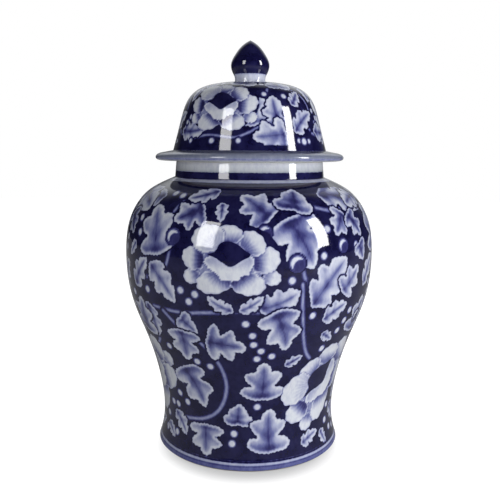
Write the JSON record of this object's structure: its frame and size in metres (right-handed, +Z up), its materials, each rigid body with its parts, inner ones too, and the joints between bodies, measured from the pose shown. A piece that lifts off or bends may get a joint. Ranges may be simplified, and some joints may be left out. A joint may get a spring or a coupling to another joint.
{
  "type": "ginger jar",
  "caption": "Round-shouldered porcelain ginger jar on a flared foot, with a loose brimmed dome lid and bud finial, painted with blue and white peonies.",
  "frame": {"origin": "centre of the foot ring, on the table plane", "axes": "+Z up along the axis the jar is turned about; the side with the open peony faces -Y"},
  "size_m": [0.2032, 0.2032, 0.33],
  "materials": {
    "painted_porcelain": "cobalt blue and white underglaze painting under clear gloss glaze",
    "cobalt_glaze": "dark cobalt gloss glaze",
    "bare_porcelain": "unglazed white biscuit, matt"
  },
  "bodies": {
    "jar": {"body_lower": "painted_porcelain", "body_upper": "painted_porcelain", "neck_ring": "painted_porcelain"},
    "collar": {"lid_collar": "bare_porcelain"},
    "lid": {"lid_dome": "painted_porcelain", "finial": "cobalt_glaze"}
  },
  "joints": [
    {"name": "lid_lift", "type": "slide", "parent": "jar", "child": "collar", "axis": [0, 0, 1], "range_m": [0, 0.12]},
    {"name": "lid_turn", "type": "hinge", "parent": "collar", "child": "lid", "pos_m": [0, 0, 0.2342], "axis": [0, 0, 1], "continuous": true}
  ]
}
